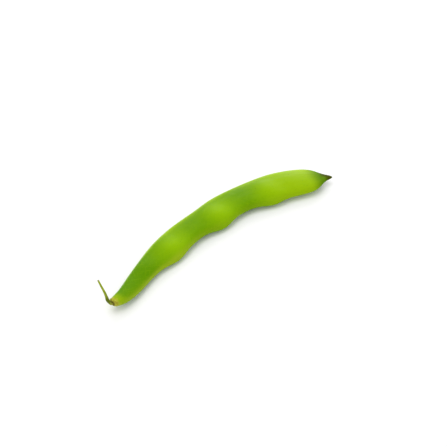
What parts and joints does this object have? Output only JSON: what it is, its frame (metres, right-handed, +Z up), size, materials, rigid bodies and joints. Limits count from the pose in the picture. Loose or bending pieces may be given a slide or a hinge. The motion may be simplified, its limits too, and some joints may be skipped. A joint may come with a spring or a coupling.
{
  "type": "green bean",
  "caption": "Flat green bean pod with softly swollen sides, a wavy back, a short beak, and the calyx and stem that it grew on. Lies on its broad side.",
  "frame": {"origin": "middle of the ground that the bean covers, on the plane that it lies on", "axes": "+X runs from the stem to the beak, +Y towards the string side that the seeds hang from, +Z up from the ground"},
  "size_m": [0.149, 0.031, 0.0183],
  "materials": {
    "pod_skin": "satin",
    "calyx": "matte",
    "stem": "matte"
  },
  "bodies": {
    "root": {"pod": "pod_skin", "calyx": "calyx", "stem": "stem"}
  },
  "joints": []
}
